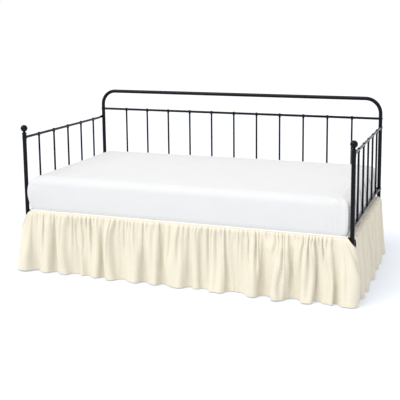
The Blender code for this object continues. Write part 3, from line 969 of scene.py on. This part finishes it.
# %% [markdown]
# ## The mattress in its fitted sheet
# A mattress is a block of foam and springs in a quilted cover, and its sheet has elastic all
# round, which draws it tight over the edges and under the bottom.  So the sides swell a
# little, the top is crowned, and the folds are only at the corners, where the spare cloth is
# gathered.  Inflating a cloth box with a simulation gives plump folds all over it, and a sheet
# this tight has none.  So the block is cut into a grid and shaped in code.  The cuts lie
# close together near the corners, where the creases need them.

# %% A block cut into a grid
PAD_HALF = Vector((0.9525, 0.4915, 0.1015))
PAD_BACK = 0.0045            # it lies this far back, so that the welt shows in front
REST_GAP = 0.0003            # and this far above the flat of the deck cloth, its foot in the welt
EDGE_R = 0.040               # how the block's upper edges and upright corners are rounded
FOOT_R = 0.005               # and its lower edge
RIM = np.array((0.0, 0.0015, 0.003, 0.005, 0.008, 0.012, 0.017, 0.023, 0.031, EDGE_R))


def stations(half, low_rim, dense, fine, coarse):
    """Cuts along one axis: round both edges, then finely for a while, then coarsely."""
    low = -half + low_rim
    high = half - RIM[::-1]
    near = low[-1] + np.arange(1, int(dense / fine) + 1) * fine
    far = high[0] - np.arange(1, int(dense / fine) + 1)[::-1] * fine
    count = max(1, round((far[0] - near[-1]) / coarse))
    return np.concatenate([low, near, np.linspace(near[-1], far[0], count + 1)[1:-1], far, high])


cuts = (stations(PAD_HALF.x, RIM, dense=0.120, fine=0.0045, coarse=0.024),
        stations(PAD_HALF.y, RIM, dense=0.060, fine=0.0045, coarse=0.024),
        stations(PAD_HALF.z, RIM[:4], dense=0.070, fine=0.005, coarse=0.010))
places, faces = [], []
for axis in range(3):
    one, other = (axis + 1) % 3, (axis + 2) % 3
    u, v = np.meshgrid(cuts[one], cuts[other], indexing="ij")
    for side in (-1, 1):
        first = sum(len(p) for p in places)
        place = np.zeros((u.size, 3))
        place[:, axis], place[:, one], place[:, other] = side * PAD_HALF[axis], u.ravel(), v.ravel()
        places.append(place)
        index = first + np.arange(u.size).reshape(u.shape)
        a, b, c, d = index[:-1, :-1], index[1:, :-1], index[1:, 1:], index[:-1, 1:]
        quads = np.stack([a, b, c, d] if side > 0 else [a, d, c, b], axis=-1)
        faces.append(quads.reshape(-1, 4))
places = np.concatenate(places)
faces = np.concatenate(faces)
print("the block is cut into", len(faces), "faces")

# %% [markdown]
# Rounding works on two numbers for each point: how far it is into the rim, seen from above, and
# its height.  Near an edge the two run along the sides of a square, and the square is pressed
# into a circle.  Then the sheet is drawn in at the foot, the sides swell, most above the
# middle, the top is crowned, and the front posts press their dents into the corners.

# %% Rounding, drawing in and swelling
CROWN = 0.010
SWELL = 0.004                # the long sides
END_SWELL = 0.018            # the ends, squeezed between the posts
DRAWN_IN = 0.004             # the elastic pulls the foot in by this much
DRAWN_UP_TO = 0.030
SQUARE = 0.45                # how square the upright corners are, from 0, round, to 1


def pressed_round(one, other):
    """Takes points on the sides of a square, 0 to 1 each way, to a quarter circle."""
    reach = np.maximum(np.hypot(one, other), 1e-9)
    longest = np.maximum(one, other)
    return one * longest / reach, other * longest / reach


half = np.array(PAD_HALF)
inner = np.clip(places[:, :2], EDGE_R - half[:2], half[:2] - EDGE_R)
away = places[:, :2] - inner
into = np.abs(away).max(axis=1)
outward = away / np.maximum(np.linalg.norm(away, axis=1, keepdims=True), 1e-9)
height = places[:, 2].copy()
top_in, top_up = pressed_round(into / EDGE_R, np.clip((height - half[2]) / EDGE_R + 1, 0, 1))
foot_in, foot_down = pressed_round(np.clip((into - EDGE_R) / FOOT_R + 1, 0, 1),
                                   np.clip((-height - half[2]) / FOOT_R + 1, 0, 1))
upper = height > 0
at_foot = np.where(into > EDGE_R - FOOT_R, EDGE_R - FOOT_R + FOOT_R * foot_in, into)
radius = np.where(upper, EDGE_R * top_in, at_foot)
height = np.where(upper & (top_up > 0), half[2] - EDGE_R * (1 - top_up), height)
height = np.where(~upper & (foot_down > 0), FOOT_R * (1 - foot_down) - half[2], height)
share_up = (height + half[2]) / (2 * half[2])
foot = 1 - smooth((height + half[2]) / DRAWN_UP_TO)
radius = radius - DRAWN_IN * foot * into / EDGE_R
swell = (SWELL + (END_SWELL - SWELL) * outward[:, 0] ** 2) * np.sin(math.pi * share_up ** 1.1) ** 0.6
radius = radius + swell * into / EDGE_R
arch_x, arch_y = (np.clip(1 - (places[:, k] / half[k]) ** 2, 0, 1) for k in (0, 1))
height = height + CROWN * (arch_x * arch_y) ** 0.35 * (top_up >= 1 - 1e-6)
plan = outward * (1 - SQUARE) + away / np.maximum(into, 1e-9)[:, None] * SQUARE
made = np.concatenate([inner + plan * radius[:, None], height[:, None]], axis=1)
centre = Vector(((pad_low.x + pad_high.x) / 2, (pad_low.y + pad_high.y) / 2 + PAD_BACK,
                 DECK_Z + REST_GAP + half[2]))
mattress = mesh_piece("mattress_in_fitted_sheet", made + np.array(centre), faces.tolist())
only(mattress)
bpy.ops.object.mode_set(mode="EDIT")
bpy.ops.mesh.select_all(action="SELECT")
bpy.ops.mesh.remove_doubles(threshold=0.00005)
bpy.ops.object.mode_set(mode="OBJECT")
outwards(mattress)
print("the mattress is", [round(c, 3) for c in mattress.dimensions], "m before its creases")

# %% [markdown]
# The creases are listed one by one.  Each is a line on the sheet, from one point to another,
# with a width, and a depth that is less than zero for a ridge.  The points are measured from
# the corner: along the bed, across it, and down from the top.  They sit where the spare cloth
# of the corner is drawn down and under.  The left front corner is also pressed out a little
# past its post.  A slow noise makes the rest uneven by a millimetre.

# %% Creases at the corners
CREASES = (
    # from                   to                      width   depth
    ((0.036, 0.000, 0.060), (0.030, 0.000, 0.185), 0.0050, 0.0024),
    ((0.054, 0.000, 0.085), (0.050, 0.000, 0.190), 0.0060, 0.0017),
    ((0.080, 0.000, 0.110), (0.074, 0.000, 0.192), 0.0070, 0.0012),
    ((0.112, 0.000, 0.125), (0.105, 0.000, 0.192), 0.0080, 0.0008),
    ((0.020, 0.004, 0.050), (0.018, 0.003, 0.190), 0.0045, -0.0016),
    ((0.070, 0.002, 0.028), (0.040, 0.000, 0.062), 0.0070, 0.0028),
    ((0.048, 0.010, 0.010), (0.024, 0.002, 0.048), 0.0060, 0.0026),
    ((0.036, 0.045, 0.000), (0.042, 0.012, 0.010), 0.0075, 0.0024),
    ((0.085, 0.030, 0.000), (0.056, 0.006, 0.020), 0.0080, -0.0020),
    ((0.100, 0.075, 0.000), (0.048, 0.030, 0.004), 0.0120, 0.0018),
    ((0.020, 0.095, 0.004), (0.012, 0.040, 0.012), 0.0090, 0.0016),
    ((0.000, 0.060, 0.070), (0.000, 0.054, 0.188), 0.0060, 0.0016),
    ((0.000, 0.100, 0.100), (0.000, 0.094, 0.190), 0.0080, 0.0010),
)
CORNERS = ((1, -1, 1.50), (-1, -1, 0.60), (1, 1, 0.80), (-1, 1, 0.70))
BULGE = ((-0.955, -0.485, 0.010), 0.085, (-0.009, -0.012, 0.0))    # where, how wide, how far
SWOLLEN = (0.006, 0.004, 0)  # the swollen sides stand this far out near a corner
UNEVEN = (0.0012, 0.0006)    # the slow noise's height, and a closer one's
DENT_GAP = 0.0008            # the sheet's points keep this far from the posts


def to_line(place, start, end):
    """Each point's distance from a line, and how far along the line it is, from 0 to 1."""
    run = end - start
    part = np.clip((place - start) @ run / (run @ run), 0, 1)
    return np.linalg.norm(place - start - part[:, None] * run, axis=1), part


count = len(mattress.data.vertices)
place, normal = np.empty(count * 3), np.empty(count * 3)
mattress.data.vertices.foreach_get("co", place)
mattress.data.vertices.foreach_get("normal", normal)
place, normal = place.reshape(-1, 3) - np.array(centre), normal.reshape(-1, 3)
creased = np.zeros(count)
for side_x, side_y, strength in CORNERS:
    corner = np.array((side_x, side_y, 1)) * (half + SWOLLEN)
    inwards = np.array((-side_x, -side_y, -1))
    for start, end, width, depth in CREASES:
        apart, part = to_line(place, corner + inwards * start, corner + inwards * end)
        fade = np.sin(math.pi * np.clip(part * 0.9 + 0.05, 0, 1)) ** 0.6
        creased -= strength * depth * fade * np.exp(-(apart / width) ** 2)
uneven = np.array([mathutils.noise.noise(Vector(p) * 5.0) for p in place])
close = place * (11, 11, 26) + (7, 3, 0)
finer = np.array([mathutils.noise.noise(Vector(p)) for p in close])
loose = smooth((place[:, 2] + half[2]) / 0.020)
bulged = np.exp(-((place - np.array(BULGE[0])) ** 2).sum(axis=1) / BULGE[1] ** 2)
place += bulged[:, None] * np.array(BULGE[2])
raised = loose * (creased + UNEVEN[0] * uneven + UNEVEN[1] * finer)
place += normal * raised[:, None] + np.array(centre)
for side in (-1, 1):
    from_post = place[:, :2] - np.array((side * POST_X, -POST_Y))
    reach = np.maximum(np.linalg.norm(from_post, axis=1, keepdims=True), 1e-9)
    place[:, :2] += from_post / reach * np.maximum(POST_R + DENT_GAP - reach, 0)
mattress.data.vertices.foreach_set("co", place.ravel())
mattress.data.update()
dress(mattress, white, ["mattress"])
print("the mattress has", len(mattress.data.polygons), "faces")

# %% [markdown]
# ## The studio
# The floor is a light table: one large pale sheet that is also faintly lit from within, so that
# the shade beside the skirt stays pale and slightly blue.  The sky is a plain white that gives
# most of the light, from all sides.  One broad lamp, as far off as the sun but much wider,
# stands high in front and to the left, and the right side of each fold and the right end of
# the bed fall into shade.  The picture is developed without a film curve, which keeps white
# white.

# %% Floor, lights and camera
floor_finish, _, _, floor_shader = new_finish("studio_floor", (0.555, 0.565, 0.57), 1.0,
                                              Specular_IOR_Level=0.0)
floor_shader.inputs["Emission Color"].default_value = (0.30, 0.32, 0.375, 1)
floor_shader.inputs["Emission Strength"].default_value = 1.0
bpy.ops.mesh.primitive_plane_add(size=400, location=(0, 0, -0.0005))
floor = bpy.context.object
floor.name = "studio_floor"
floor.data.materials.append(floor_finish)

world = bpy.data.worlds.new("studio_sky")
world.use_nodes = True
sky = world.node_tree.nodes["Background"]
sky.inputs["Color"].default_value = (1.004, 1.008, 1.022, 1)
sky.inputs["Strength"].default_value = 1.0
bpy.context.scene.world = world

key_data = bpy.data.lights.new("key_lamp", "SUN")
key_data.energy = 1.76
key_data.angle = math.radians(38)
key_data.color = (1.0, 0.985, 0.94)
key = bpy.data.objects.new("key_lamp", key_data)
bpy.context.scene.collection.objects.link(key)
key.location = (-1.9, -3.0, 4.1)
key.rotation_euler = (-key.location).to_track_quat("-Z", "Y").to_euler()

camera_data = bpy.data.cameras.new("camera")
camera = bpy.data.objects.new("camera", camera_data)
bpy.context.scene.collection.objects.link(camera)
camera_data.sensor_width = 36
camera_data.lens = 69.72
camera_data.shift_x = -0.07
camera_data.shift_y = -0.18
camera.location = (1.622, -4.412, 1.517)
TURNED, DOWN, ROLLED = math.radians(18.71), math.radians(8.33), math.radians(-0.3)
aim = Matrix.Rotation(TURNED, 3, "Z") @ Matrix.Rotation(QUARTER - DOWN, 3, "X")
camera.rotation_euler = (aim @ Matrix.Rotation(ROLLED, 3, "Z")).to_euler()
bpy.context.scene.camera = camera
bpy.context.scene.view_settings.view_transform = "Standard"
print("the camera looks down by", round(math.degrees(DOWN), 1), "degrees from",
      [round(c, 2) for c in camera.location])
